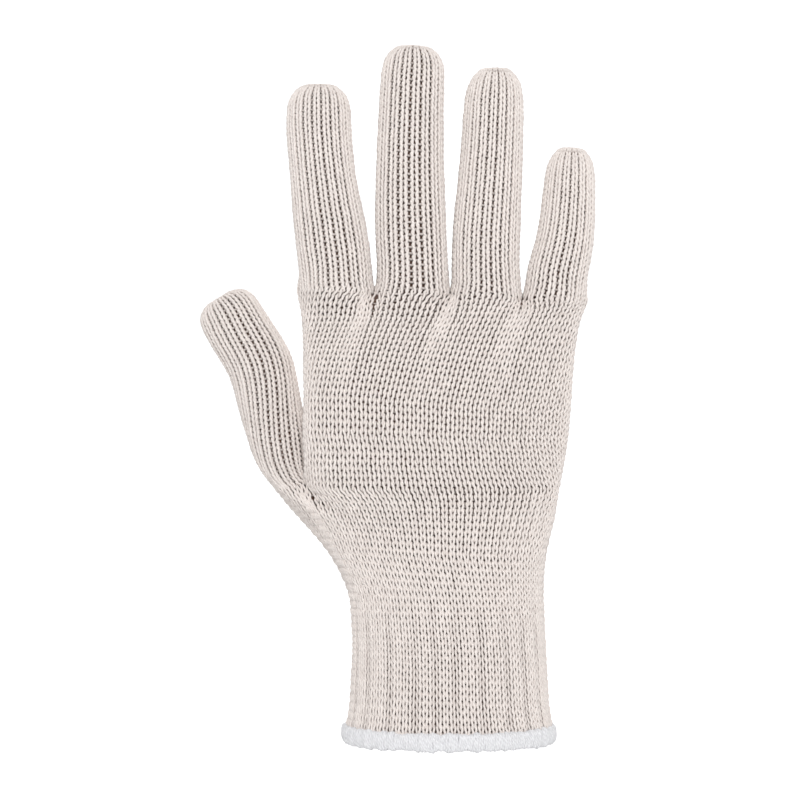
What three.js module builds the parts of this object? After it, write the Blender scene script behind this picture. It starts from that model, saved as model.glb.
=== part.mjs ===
// String knit liner glove for the right hand, in the shape that it has when it is worn.
// Millimetres. +X points to the little finger, +Y to the palm side, away from the back of the hand,
// and +Z to the fingertips. The origin is the middle of the wrist opening, at the hem's lower edge.
//
// One quad cage holds the whole hand: eight corners round each finger, 26 round the four finger palm
// and 32 round the five finger palm and the cuff. Catmull-Clark subdivision makes it smooth, and each
// knitted section is a stretch of that surface with a wall of its own.
import * as THREE from 'three';

// Driving sizes
const wall = 2.2;            // thickness of the knitted wall
const gap = 0.3;             // clearance between two sections that meet
const columnsPerFinger = 3;  // cage columns across one face of a finger, besides its two sides
const fingerOrder = ['index', 'middle', 'ring', 'little'];

const cuffWales = 86;        // knitted columns round the cuff: one is a rib's crest, the next its groove
const ribHeight = 0.55;      // crest of a rib above its groove
const cuffWall = 1.7;        // the cuff is knitted tighter and a little thinner
const cuffRows = 5;          // height steps of the ribbed surface

const hem = { height: 6.2, outerLip: 1.1, innerLip: 0.9, groove: 3.4, bulge: 0.5, sides: 40 };
const cuffEdge = hem.height - hem.groove + gap; // height of the cuff's lower edge, inside the hem

// Each table has a row for each section and a name for each column.
function table(columns, rows) {
  return rows.map((row) => Object.fromEntries(columns.map((name, i) => [name, row[i]])));
}

// Finger and thumb sections from the root to the tip. turn is in degrees about the tube's own line,
// and brings the thumb's inner side round to face the palm. The fingers have none.
const tubeColumns = ['x', 'y', 'z', 'halfWidth', 'halfDepth', 'turn'];
const tubes = {
  index: table(tubeColumns, [
    [-39.9, 0.0, 166.3, 12.9, 11.2],
    [-41.8, 0.3, 180.6, 12.6, 11.0],
    [-44.0, 1.4, 196.4, 11.6, 10.6],
    [-45.5, 3.2, 212.1, 11.5, 10.3],
    [-45.8, 4.8, 221.9, 11.2, 9.8],
    [-45.8, 5.7, 226.6, 9.4, 7.4],
    [-45.8, 6.1, 228.8, 6.6, 4.2],
  ]),
  middle: table(tubeColumns, [
    [-12.8, 0.0, 166.3, 12.5, 11.3],
    [-13.4, 0.2, 181.0, 12.5, 11.1],
    [-13.6, 2.0, 203.0, 11.9, 10.6],
    [-13.0, 5.0, 226.1, 11.4, 10.1],
    [-12.5, 6.6, 236.0, 11.0, 9.4],
    [-12.5, 7.4, 240.6, 9.3, 7.2],
    [-12.4, 7.7, 242.8, 6.5, 4.1],
  ]),
  ring: table(tubeColumns, [
    [12.9, 0.0, 166.3, 11.9, 10.9],
    [13.3, 0.3, 181.0, 11.7, 10.7],
    [14.8, 2.2, 202.0, 11.0, 10.2],
    [15.8, 5.0, 220.2, 10.6, 9.6],
    [16.3, 6.5, 228.6, 9.7, 8.6],
    [16.5, 7.2, 232.8, 7.9, 6.4],
    [16.5, 7.5, 234.9, 5.4, 3.8],
  ]),
  little: table(tubeColumns, [
    [38.0, 0.5, 163.0, 10.7, 9.9],
    [40.3, 0.9, 173.6, 10.1, 9.5],
    [41.8, 2.0, 185.2, 9.5, 9.0],
    [42.5, 3.4, 195.7, 8.9, 8.5],
    [42.9, 4.3, 201.4, 8.1, 7.6],
    [43.1, 4.9, 204.8, 6.6, 5.8],
    [43.2, 5.1, 206.6, 4.8, 3.5],
  ]),
  thumb: table(tubeColumns, [
    [-58.7, 16.6, 101.2, 11.1, 10.9, 38],
    [-63.2, 17.4, 115.8, 11.4, 11.0, 20],
    [-67.0, 18.8, 130.8, 12.0, 10.9, 10],
    [-73.3, 20.0, 141.8, 11.8, 10.5, 4],
    [-78.2, 21.0, 149.8, 11.5, 9.7, 0],
    [-81.0, 21.6, 153.9, 9.7, 7.4, 0],
    [-82.0, 21.9, 155.5, 6.7, 4.4, 0],
  ]),
};

// Row where the four fingers meet the palm: the two ends and the three crotches between them
const crotchColumns = ['x', 'y', 'z', 'halfDepth'];
const crotches = table(crotchColumns, [
  [-52.3, 0.0, 157.6, 1.7],
  [-26.2, 0.0, 157.0, 4.0],
  [0.3, 0.0, 156.4, 4.0],
  [25.5, 0.2, 154.6, 3.8],
  [47.8, 0.5, 153.8, 1.6],
]);
const rootDepth = { index: 11.2, middle: 11.4, ring: 11.0, little: 10.0 };
const rootCorner = 0.27;     // share of a finger's width from its side to the nearest front corner

// Sections of the hand and the cuff from the top down. lean raises the thumb side towards +Y.
// power and backPower are the superellipse powers of the two faces, where 2 is an ellipse.
const bandColumns = [
  'x', 'y', 'z', 'halfWidth', 'front', 'back', 'lean', 'power', 'backPower',
];
const fourFingerBands = table(bandColumns, [
  [-2.7, 0.0, 147.3, 48.9, 13.2, 14.2, 0.0, 2.4, 2.4],
  [-3.6, 0.0, 133.4, 47.5, 14.4, 16.2, -0.8, 2.3, 2.3],
  [-4.0, 0.0, 117.6, 47.1, 15.4, 18.4, -2.0, 2.1, 2.1],
  [-4.7, 0.0, 102.6, 46.4, 16.4, 20.2, -3.4, 2.0, 2.0],
  [-5.6, 0.5, 88.5, 44.6, 17.4, 22.6, -2.0, 2.0, 2.1],
]);
const fiveFingerBands = table(bandColumns, [
  [-7.9, 1.8, 77.3, 44.4, 19.4, 24.0, 5.0, 2.1, 2.9],
  [-4.4, 1.4, 66.1, 38.3, 20.6, 24.2, 4.0, 2.2, 2.6],
  [-1.5, 0.6, 53.8, 34.5, 22.2, 23.6, 2.0, 2.1, 2.3],
  [-0.5, 0.2, 44.1, 33.8, 23.0, 23.4, 1.0, 2.1, 2.1],
]);
const cuffBands = table(bandColumns, [
  [0.0, 0.0, 31.9, 33.9, 23.4, 23.4, 0.0, 2.1, 2.1],
  [0.1, 0.0, 17.9, 34.6, 23.6, 23.6, 0.0, 2.1, 2.1],
  [0.1, 0.0, 10.4, 35.3, 24.2, 24.2, 0.0, 2.1, 2.1],
  [0.0, 0.0, cuffEdge, 36.6, 25.4, 25.4, 0.0, 2.1, 2.1],
  [0.0, 0.0, cuffEdge - 6, 37.8, 26.6, 26.6, 0.0, 2.1, 2.1],
]);

// Corners of the row where the thumb leaves the hand, from the web round the thumb's back face.
// The web is the narrow edge between the thumb and the palm, tucked behind the edge of the palm.
const pointColumns = ['x', 'y', 'z'];
const thumbWeb = table(pointColumns, [
  [-51.0, -1.6, 90.4],
  [-46.6, 11.4, 90.8],
]);
const thumbRootFront = table(pointColumns, [
  [-61.5, 7.6, 88.0],
  [-60.0, 0.2, 88.2],
  [-56.0, -3.4, 89.0],
]);
const thumbRootBack = table(pointColumns, [
  [-60.4, 16.0, 88.0],
  [-55.8, 21.8, 88.2],
  [-50.4, 21.0, 89.0],
]);

// The cage: target points that the smooth surface passes through, and quads with their section
const targets = [];
const quads = [];
const owners = [];

function addPoint(x, y, z) {
  targets.push(new THREE.Vector3(x, y, z));
  return targets.length - 1;
}

function addQuad(owner, corners) {
  quads.push(corners);
  owners.push(owner);
  return quads.length - 1;
}

// Joins two rings with one quad for each column and returns the quads' numbers.
function bridge(owner, lower, upper) {
  return lower.map((corner, i) => {
    const next = (i + 1) % lower.length;
    return addQuad(owner, [corner, lower[next], upper[next], upper[i]]);
  });
}

// Corners of one half of a superellipse, evenly spaced along its arc with half a column left at
// either end. They run from -halfWidth to halfWidth, and depth is positive on the +Y side.
function halfOutline(halfWidth, depth, power, columns) {
  const steps = 240;
  const outline = [];
  const lengths = [0];
  for (let i = 0; i <= steps; i += 1) {
    const angle = Math.PI * (1 - i / steps);
    const cosine = Math.cos(angle);
    const along = Math.sign(cosine) * Math.abs(cosine) ** (2 / power) * halfWidth;
    const across = Math.abs(Math.sin(angle)) ** (2 / power) * depth;
    outline.push(new THREE.Vector2(along, across));
    if (i > 0) lengths.push(lengths[i - 1] + outline[i].distanceTo(outline[i - 1]));
  }
  return Array.from({ length: columns + 1 }, (_, corner) => {
    const wanted = (corner + 0.5) / (columns + 1) * lengths[steps];
    const i = Math.max(1, lengths.findIndex((length) => length >= wanted));
    const share = (wanted - lengths[i - 1]) / (lengths[i] - lengths[i - 1]);
    return outline[i - 1].clone().lerp(outline[i], share);
  });
}

// A ring across the hand or the cuff: front corners from the thumb side, then back corners
function bandRing(band, fingers) {
  const columns = fingers * columnsPerFinger;
  const place = (point) => addPoint(
    band.x + point.x,
    band.y + point.y - band.lean * point.x / band.halfWidth,
    band.z,
  );
  const front = halfOutline(band.halfWidth, -band.front, band.power, columns).map(place);
  const back = halfOutline(band.halfWidth, band.back, band.backPower, columns).map(place);
  return { front, back };
}

const closed = ({ front, back }) => [...front, ...[...back].reverse()];

// A ring square to a finger's middle line, whose direction is tangent
function tubeRing(section, tangent) {
  const side = new THREE.Vector3(0, 1, 0).cross(tangent).normalize();
  const depth = tangent.clone().cross(side).normalize();
  const centre = new THREE.Vector3(section.x, section.y, section.z);
  const place = (point) => {
    const corner = side.clone().multiplyScalar(point.x).addScaledVector(depth, point.y);
    corner.applyAxisAngle(tangent, -THREE.MathUtils.degToRad(section.turn ?? 0)).add(centre);
    return addPoint(corner.x, corner.y, corner.z);
  };
  const { halfWidth, halfDepth } = section;
  const front = halfOutline(halfWidth, -halfDepth, 2, columnsPerFinger).map(place);
  const back = halfOutline(halfWidth, halfDepth, 2, columnsPerFinger).map(place);
  return { front, back };
}

// A closed finger or thumb on its root ring. The last ring is capped with a quad for each column.
function growTube(name, owner, root) {
  const sections = tubes[name];
  const centres = sections.map((section) => new THREE.Vector3(section.x, section.y, section.z));
  let lower = closed(root);
  let ring = root;
  sections.forEach((section, i) => {
    const before = centres[Math.max(i - 1, 0)];
    const after = centres[Math.min(i + 1, centres.length - 1)];
    ring = tubeRing(section, after.clone().sub(before).normalize());
    const upper = closed(ring);
    bridge(owner, lower, upper);
    lower = upper;
  });
  for (let i = 0; i < columnsPerFinger; i += 1) {
    addQuad(owner, [ring.front[i], ring.front[i + 1], ring.back[i + 1], ring.back[i]]);
  }
}

// The row of finger roots: each finger has two inner corners on either face, and its end corners
// are crotches that it shares with its neighbour.
function rootRow() {
  const row = { front: [], back: [] };
  for (const [face, sign] of [['front', -1], ['back', 1]]) {
    crotches.forEach((crotch, i) => {
      row[face].push(addPoint(crotch.x, crotch.y + sign * crotch.halfDepth, crotch.z));
      const after = crotches[i + 1];
      if (after) {
        for (const share of [rootCorner, 1 - rootCorner]) {
          row[face].push(addPoint(
            THREE.MathUtils.lerp(crotch.x, after.x, share),
            THREE.MathUtils.lerp(crotch.y, after.y, share) + sign * rootDepth[fingerOrder[i]],
            THREE.MathUtils.lerp(crotch.z, after.z, share),
          ));
        }
      }
    });
  }
  return row;
}

function buildCage() {
  const roots = rootRow();
  fingerOrder.forEach((name, i) => {
    const first = i * columnsPerFinger;
    const last = first + columnsPerFinger + 1;
    const root = { front: roots.front.slice(first, last), back: roots.back.slice(first, last) };
    growTube(name, `${name}_finger`, root);
  });

  let upper = roots;
  for (const band of fourFingerBands) {
    const lower = bandRing(band, 4);
    bridge('four_finger_palm', closed(lower), closed(upper));
    upper = lower;
  }

  // The thumb's row: the palm's end corners move to the web, which the thumb's root shares.
  const web = { front: upper.front[0], back: upper.back[0] };
  targets[web.front].set(thumbWeb[0].x, thumbWeb[0].y, thumbWeb[0].z);
  targets[web.back].set(thumbWeb[1].x, thumbWeb[1].y, thumbWeb[1].z);
  const thumbRoot = {
    front: [...thumbRootFront.map(({ x, y, z }) => addPoint(x, y, z)), web.front],
    back: [...thumbRootBack.map(({ x, y, z }) => addPoint(x, y, z)), web.back],
  };
  growTube('thumb', 'thumb', thumbRoot);

  upper = {
    front: [...thumbRoot.front, ...upper.front.slice(1)],
    back: [...thumbRoot.back, ...upper.back.slice(1)],
  };
  for (const band of fiveFingerBands) {
    const lower = bandRing(band, 5);
    bridge('five_finger_palm', closed(lower), closed(upper));
    upper = lower;
  }
  const cuffRings = [];
  for (const band of cuffBands) {
    const lower = bandRing(band, 5);
    cuffRings.push(bridge('rib_cuff', closed(lower), closed(upper)));
    upper = lower;
  }
  return cuffRings;
}

// Catmull-Clark subdivision of a quad mesh
const edgeKey = (a, b) => (a < b ? `${a},${b}` : `${b},${a}`);

function neighbours(mesh) {
  const faces = mesh.points.map(() => []);
  const edges = new Map();
  mesh.quads.forEach((quad, f) => {
    quad.forEach((corner, i) => {
      faces[corner].push(f);
      const next = quad[(i + 1) % 4];
      const key = edgeKey(corner, next);
      if (!edges.has(key)) edges.set(key, { ends: [corner, next], faces: [] });
      edges.get(key).faces.push(f);
    });
  });
  const links = mesh.points.map(() => []);
  const open = mesh.points.map(() => false);
  for (const { ends: [a, b], faces: sides } of edges.values()) {
    links[a].push(b);
    links[b].push(a);
    if (sides.length === 1) {
      open[a] = true;
      open[b] = true;
    }
  }
  return { faces, edges, links, open };
}

function average(points) {
  const sum = new THREE.Vector3();
  for (const point of points) sum.add(point);
  return sum.divideScalar(points.length);
}

function subdivide(mesh) {
  const around = neighbours(mesh);
  const facePoints = mesh.quads.map((quad) => average(quad.map((i) => mesh.points[i])));
  const points = mesh.points.map((point, i) => {
    if (around.open[i]) return point.clone();
    const count = around.links[i].length;
    const faceMean = average(around.faces[i].map((f) => facePoints[f]));
    const middles = around.links[i].map((j) => point.clone().add(mesh.points[j]).multiplyScalar(0.5));
    const moved = faceMean.addScaledVector(average(middles), 2).addScaledVector(point, count - 3);
    return moved.divideScalar(count);
  });
  const edgeNumbers = new Map();
  for (const [key, { ends, faces }] of around.edges) {
    const parts = ends.map((i) => mesh.points[i]);
    if (faces.length === 2) parts.push(...faces.map((f) => facePoints[f]));
    edgeNumbers.set(key, points.length);
    points.push(average(parts));
  }
  const firstFacePoint = points.length;
  points.push(...facePoints);
  const smaller = [];
  mesh.quads.forEach((quad, f) => {
    const middle = firstFacePoint + f;
    const edge = quad.map((corner, i) => edgeNumbers.get(edgeKey(corner, quad[(i + 1) % 4])));
    smaller.push([quad[0], edge[0], middle, edge[3]]);
    smaller.push([edge[0], quad[1], edge[1], middle]);
    smaller.push([middle, edge[1], quad[2], edge[2]]);
    smaller.push([edge[3], middle, edge[2], quad[3]]);
  });
  return { points, quads: smaller };
}

// Places of the mesh's own points on the limit surface
function limitPoints(mesh, around = neighbours(mesh)) {
  return mesh.points.map((point, i) => {
    if (around.open[i]) return point.clone();
    const count = around.links[i].length;
    const sum = point.clone().multiplyScalar(count * count);
    for (const j of around.links[i]) sum.addScaledVector(mesh.points[j], 4);
    for (const f of around.faces[i]) {
      for (const j of mesh.quads[f]) {
        if (j !== i && !around.links[i].includes(j)) sum.add(mesh.points[j]);
      }
    }
    return sum.divideScalar(count * (count + 5));
  });
}

// Moves the cage's points until its limit surface passes through the targets.
function fitCage() {
  const mesh = { points: targets.map((point) => point.clone()), quads };
  const around = neighbours(mesh);
  const rounds = 10;
  for (let round = 0; round < rounds; round += 1) {
    const limits = limitPoints(mesh, around);
    mesh.points.forEach((point, i) => point.add(targets[i]).sub(limits[i]));
  }
  return mesh;
}

function vertexNormals(points, faces) {
  const normals = points.map(() => new THREE.Vector3());
  for (const quad of faces) {
    const diagonal = points[quad[2]].clone().sub(points[quad[0]]);
    const other = points[quad[3]].clone().sub(points[quad[1]]);
    const normal = diagonal.cross(other);
    for (const i of quad) normals[i].add(normal);
  }
  return normals.map((normal) => normal.normalize());
}

function meshFrom(name, points, triangles, material) {
  const geometry = new THREE.BufferGeometry();
  const values = points.flatMap((point) => [point.x, point.y, point.z]);
  geometry.setAttribute('position', new THREE.Float32BufferAttribute(values, 3));
  geometry.setIndex(triangles);
  geometry.computeVertexNormals();
  const mesh = new THREE.Mesh(geometry, material);
  mesh.name = name;
  return mesh;
}

const quadTriangles = ([a, b, c, d]) => [a, b, c, a, c, d];

// How far each end of the open edges moves in the surface, so that every open edge draws back by
// half the gap. A corner between two edges moves to where the two moved edges cross.
function drawBack(openEdges, points, normals) {
  const inward = new Map();
  for (const edge of openEdges) {
    const along = points[edge[1]].clone().sub(points[edge[0]]);
    for (const corner of edge) {
      const direction = normals[corner].clone().cross(along).normalize();
      inward.set(corner, [...(inward.get(corner) ?? []), direction]);
    }
  }
  const moves = new Map();
  for (const [corner, [first, second]] of inward) {
    const share = gap / 2 / (1 + first.dot(second));
    moves.set(corner, first.clone().add(second).multiplyScalar(share));
  }
  return moves;
}

// One knitted section: its quads of the smooth surface, a copy of them one wall further in, and a
// rim between the two along each open edge. Open edges are drawn back by half the gap.
function shell(name, faces, points, normals, material) {
  const used = [...new Set(faces.flat())];
  const place = new Map(used.map((old, i) => [old, i]));
  const openEdges = [];
  const seen = new Set();
  for (const quad of faces) quad.forEach((corner, i) => seen.add(`${corner}>${quad[(i + 1) % 4]}`));
  for (const quad of faces) {
    quad.forEach((corner, i) => {
      const next = quad[(i + 1) % 4];
      if (!seen.has(`${next}>${corner}`)) openEdges.push([corner, next]);
    });
  }
  const drawn = drawBack(openEdges, points, normals);
  const outer = used.map((old) => points[old].clone().add(drawn.get(old) ?? new THREE.Vector3()));
  const inner = used.map((old, i) => outer[i].clone().addScaledVector(normals[old], -wall));
  const count = used.length;
  const triangles = [];
  for (const quad of faces) {
    const corners = quad.map((i) => place.get(i));
    triangles.push(...quadTriangles(corners));
    triangles.push(...quadTriangles(corners.map((i) => i + count).reverse()));
  }
  // Both sections at a seam split its rim along the same diagonals, so that they stay parallel.
  for (const edge of openEdges) {
    const [a, b] = edge.map((i) => place.get(i));
    const rimQuad = edge[0] < edge[1] ? [b, a, a + count, b + count] : [a, a + count, b + count, b];
    triangles.push(...quadTriangles(rimQuad));
  }
  return meshFrom(name, [...outer, ...inner], triangles, material);
}

// Points on the limit surface inside one cage quad, from its share of the twice divided mesh
const childCorners = [[0, 0], [1, 0], [1, 1], [0, 1]];

function surfacePoint(fine, quad, across, up) {
  let number = quad;
  let u = across;
  let v = up;
  for (let level = 0; level < 2; level += 1) {
    const column = u < 0.5 ? 0 : 1;
    const row = v < 0.5 ? 0 : 1;
    number = number * 4 + childCorners.findIndex(([i, j]) => i === column && j === row);
    u = u * 2 - column;
    v = v * 2 - row;
  }
  const [a, b, c, d] = fine.quads[number].map((i) => fine.limits[i]);
  return a.clone().lerp(b, u).lerp(d.clone().lerp(c, u), v);
}

// The cuff is a ribbed tube: a crest and a groove take turns along the wales.
function ribbedCuff(fine, cuffRings, material) {
  const usedRings = cuffRings.slice(0, -1);
  const columns = usedRings[0].length;
  const ringAt = (height, insetAt) => {
    const at = Math.min(height * usedRings.length, usedRings.length - 1e-6);
    const row = Math.floor(at);
    const points = Array.from({ length: cuffWales }, (_, wale) => {
      const around = (wale + 0.5) / cuffWales * columns;
      const column = Math.floor(around);
      return surfacePoint(fine, usedRings[row][column], around - column, 1 - (at - row));
    });
    return points.map((point, i) => {
      const along = points[(i + 1) % points.length].clone()
        .sub(points[(i + points.length - 1) % points.length]);
      const outward = new THREE.Vector3(along.y, -along.x, 0).normalize();
      return point.addScaledVector(outward, -insetAt(i));
    });
  };
  const heights = Array.from({ length: cuffRows + 1 }, (_, i) => i / cuffRows);
  const innerHeights = [1, 0.5, 0];
  const profile = [
    ...heights.map((height) => ringAt(height, (wale) => (wale % 2) * ribHeight)),
    ...innerHeights.map((height) => ringAt(height, () => cuffWall + ribHeight)),
  ];
  for (const point of [...profile[0], ...profile[profile.length - 1]]) point.z -= gap / 2;
  return latticeMesh('rib_cuff', profile, material);
}

// Closes a list of rings, each with the same number of points, into one ring shaped body.
function latticeMesh(name, rings, material) {
  const count = rings[0].length;
  const triangles = [];
  rings.forEach((_, i) => {
    const upper = i * count;
    const lower = ((i + 1) % rings.length) * count;
    for (let j = 0; j < count; j += 1) {
      const next = (j + 1) % count;
      triangles.push(...quadTriangles([lower + j, lower + next, upper + next, upper + j]));
    }
  });
  return meshFrom(name, rings.flat(), triangles, material);
}

// The overlocked hem wraps the cuff's lower edge: a channel with an outer lip, a rounded foot and
// an inner lip. Its profile is given as an offset from the cuff's outer face, and a height.
function hemEdging(material) {
  const edge = cuffBands[3];
  const insideCuff = -(cuffWall + ribHeight + gap);
  const foot = hem.height - hem.groove;
  const profile = [
    [gap, hem.height],
    [gap + hem.outerLip, hem.height - 0.7],
    [gap + hem.outerLip + hem.bulge, hem.height * 0.45],
    [gap + hem.outerLip, 0.9],
    [gap * 0.5, 0],
    [insideCuff * 0.8, 0],
    [insideCuff - hem.innerLip, 0.9],
    [insideCuff - hem.innerLip, hem.height - 0.7],
    [insideCuff, hem.height],
    [insideCuff, foot],
    [gap, foot],
  ];
  const rings = profile.map(([offset, height]) => (
    Array.from({ length: hem.sides }, (_, i) => {
      const angle = 2 * Math.PI * i / hem.sides;
      const flare = (height - cuffEdge) * (cuffBands[2].halfWidth - edge.halfWidth)
        / (cuffBands[2].z - cuffEdge);
      const halfWidth = edge.halfWidth + flare + offset;
      const halfDepth = edge.front + flare + offset;
      const power = 2 / edge.power;
      return new THREE.Vector3(
        edge.x + Math.sign(Math.cos(angle)) * Math.abs(Math.cos(angle)) ** power * halfWidth,
        edge.y + Math.sign(Math.sin(angle)) * Math.abs(Math.sin(angle)) ** power * halfDepth,
        height,
      );
    })
  ));
  return latticeMesh('hem_edging', rings, material);
}

const naturalYarn = new THREE.MeshStandardMaterial({ color: 0xe6ddd3, roughness: 0.95, metalness: 0 });
naturalYarn.name = 'natural_yarn';
const whiteYarn = new THREE.MeshStandardMaterial({ color: 0xf4f4f6, roughness: 0.85, metalness: 0 });
whiteYarn.name = 'white_yarn';

const cuffRings = buildCage();
const once = subdivide(fitCage());
const oncePoints = limitPoints(once);
const twice = subdivide(once);
const fine = { quads: twice.quads, limits: limitPoints(twice) };
const thrice = subdivide(twice);
const normals = vertexNormals(limitPoints(thrice), thrice.quads);

const glove = new THREE.Group();
glove.name = 'string_knit_glove';
const shellNames = [
  'index_finger', 'middle_finger', 'ring_finger', 'little_finger', 'thumb',
  'four_finger_palm', 'five_finger_palm',
];
for (const name of shellNames) {
  const faces = once.quads.filter((_, i) => owners[Math.floor(i / 4)] === name);
  glove.add(shell(name, faces, oncePoints, normals, naturalYarn.clone()));
}
glove.add(ribbedCuff(fine, cuffRings, naturalYarn.clone()));
glove.add(hemEdging(whiteYarn));

export default glove;
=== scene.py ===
# String knit liner glove for the right hand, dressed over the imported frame.
# Sizes are millimetres up to the point where a mesh is made, and metres in the scene.
import math

import bpy
import numpy as np
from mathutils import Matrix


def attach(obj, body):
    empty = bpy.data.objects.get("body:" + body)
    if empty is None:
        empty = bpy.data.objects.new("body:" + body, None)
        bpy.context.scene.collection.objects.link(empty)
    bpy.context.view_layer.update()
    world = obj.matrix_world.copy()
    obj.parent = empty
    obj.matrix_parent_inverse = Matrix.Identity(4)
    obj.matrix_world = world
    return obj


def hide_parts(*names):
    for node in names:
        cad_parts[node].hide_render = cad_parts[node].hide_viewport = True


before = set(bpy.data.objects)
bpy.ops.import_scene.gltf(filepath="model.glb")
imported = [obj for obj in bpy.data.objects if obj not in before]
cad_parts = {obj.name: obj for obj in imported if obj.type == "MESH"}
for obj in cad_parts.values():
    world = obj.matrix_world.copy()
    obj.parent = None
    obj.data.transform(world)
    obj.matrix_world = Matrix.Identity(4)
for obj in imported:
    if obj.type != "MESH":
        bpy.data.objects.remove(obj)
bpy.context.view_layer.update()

MM = 0.001

# Camera: level with the middle of the picture, looking straight at the back of the hand
PICTURE_PIXELS = 800
MM_PER_PIXEL = 0.35
CAMERA_DISTANCE = 800.0
CAMERA_X = -17.15
CAMERA_Z = 119.35
SENSOR = 36.0

camera_data = bpy.data.cameras.new("camera")
camera_data.sensor_width = SENSOR
camera_data.lens = SENSOR * CAMERA_DISTANCE / (PICTURE_PIXELS * MM_PER_PIXEL)
camera_data.clip_end = 50.0
camera = bpy.data.objects.new("camera", camera_data)
camera.location = (CAMERA_X * MM, -CAMERA_DISTANCE * MM, CAMERA_Z * MM)
camera.rotation_euler = (math.pi / 2, 0.0, 0.0)
bpy.context.scene.collection.objects.link(camera)
bpy.context.scene.camera = camera

# Driving sizes of the hand, the same as the frame's
COLUMNS_PER_FINGER = 3
FINGERS = ("index", "middle", "ring", "little")
CUFF_EDGE = 3.1

# Finger and thumb sections: x, y, z, half width, half depth, turn about the finger's own line
TUBES = {
    "index": [
        (-39.9, 0.0, 166.3, 12.9, 11.2, 0.0),
        (-41.8, 0.3, 180.6, 12.6, 11.0, 0.0),
        (-44.0, 1.4, 196.4, 11.6, 10.6, 0.0),
        (-45.5, 3.2, 212.1, 11.5, 10.3, 0.0),
        (-45.8, 4.8, 221.9, 11.2, 9.8, 0.0),
        (-45.8, 5.7, 226.6, 9.4, 7.4, 0.0),
        (-45.8, 6.1, 228.8, 6.6, 4.2, 0.0),
    ],
    "middle": [
        (-12.8, 0.0, 166.3, 12.5, 11.3, 0.0),
        (-13.4, 0.2, 181.0, 12.5, 11.1, 0.0),
        (-13.6, 2.0, 203.0, 11.9, 10.6, 0.0),
        (-13.0, 5.0, 226.1, 11.4, 10.1, 0.0),
        (-12.5, 6.6, 236.0, 11.0, 9.4, 0.0),
        (-12.5, 7.4, 240.6, 9.3, 7.2, 0.0),
        (-12.4, 7.7, 242.8, 6.5, 4.1, 0.0),
    ],
    "ring": [
        (12.9, 0.0, 166.3, 11.9, 10.9, 0.0),
        (13.3, 0.3, 181.0, 11.7, 10.7, 0.0),
        (14.8, 2.2, 202.0, 11.0, 10.2, 0.0),
        (15.8, 5.0, 220.2, 10.6, 9.6, 0.0),
        (16.3, 6.5, 228.6, 9.7, 8.6, 0.0),
        (16.5, 7.2, 232.8, 7.9, 6.4, 0.0),
        (16.5, 7.5, 234.9, 5.4, 3.8, 0.0),
    ],
    "little": [
        (38.0, 0.5, 163.0, 10.7, 9.9, 0.0),
        (40.3, 0.9, 173.6, 10.1, 9.5, 0.0),
        (41.8, 2.0, 185.2, 9.5, 9.0, 0.0),
        (42.5, 3.4, 195.7, 8.9, 8.5, 0.0),
        (42.9, 4.3, 201.4, 8.1, 7.6, 0.0),
        (43.1, 4.9, 204.8, 6.6, 5.8, 0.0),
        (43.2, 5.1, 206.6, 4.8, 3.5, 0.0),
    ],
    "thumb": [
        (-58.7, 16.6, 101.2, 11.1, 10.9, 38.0),
        (-63.2, 17.4, 115.8, 11.4, 11.0, 20.0),
        (-67.0, 18.8, 130.8, 12.0, 10.9, 10.0),
        (-73.3, 20.0, 141.8, 11.8, 10.5, 4.0),
        (-78.2, 21.0, 149.8, 11.5, 9.7, 0.0),
        (-81.0, 21.6, 153.9, 9.7, 7.4, 0.0),
        (-82.0, 21.9, 155.5, 6.7, 4.4, 0.0),
    ],
}

# Row where the fingers meet the palm: x, y, z, half depth of the two ends and the three crotches
CROTCHES = [
    (-52.3, 0.0, 157.6, 1.7),
    (-26.2, 0.0, 157.0, 4.0),
    (0.3, 0.0, 156.4, 4.0),
    (25.5, 0.2, 154.6, 3.8),
    (47.8, 0.5, 153.8, 1.6),
]
ROOT_DEPTH = {"index": 11.2, "middle": 11.4, "ring": 11.0, "little": 10.0}
ROOT_CORNER = 0.27

# Bands of the hand and the cuff from the top down:
# x, y, z, half width, front depth, back depth, lean, power of the front, power of the back.
# The last band only guides the surface over the cuff's edge.
FOUR_FINGER_BANDS = [
    (-2.7, 0.0, 147.3, 48.9, 13.2, 14.2, 0.0, 2.4, 2.4),
    (-3.6, 0.0, 133.4, 47.5, 14.4, 16.2, -0.8, 2.3, 2.3),
    (-4.0, 0.0, 117.6, 47.1, 15.4, 18.4, -2.0, 2.1, 2.1),
    (-4.7, 0.0, 102.6, 46.4, 16.4, 20.2, -3.4, 2.0, 2.0),
    (-5.6, 0.5, 88.5, 44.6, 17.4, 22.6, -2.0, 2.0, 2.1),
]
FIVE_FINGER_BANDS = [
    (-7.9, 1.8, 77.3, 44.4, 19.4, 24.0, 5.0, 2.1, 2.9),
    (-4.4, 1.4, 66.1, 38.3, 20.6, 24.2, 4.0, 2.2, 2.6),
    (-1.5, 0.6, 53.8, 34.5, 22.2, 23.6, 2.0, 2.1, 2.3),
    (-0.5, 0.2, 44.1, 33.8, 23.0, 23.4, 1.0, 2.1, 2.1),
]
CUFF_BANDS = [
    (0.0, 0.0, 31.9, 33.9, 23.4, 23.4, 0.0, 2.1, 2.1),
    (0.1, 0.0, 17.9, 34.6, 23.6, 23.6, 0.0, 2.1, 2.1),
    (0.1, 0.0, 10.4, 35.3, 24.2, 24.2, 0.0, 2.1, 2.1),
    (0.0, 0.0, CUFF_EDGE, 36.6, 25.4, 25.4, 0.0, 2.1, 2.1),
    (0.0, 0.0, CUFF_EDGE - 6, 37.8, 26.6, 26.6, 0.0, 2.1, 2.1),
]
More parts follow.
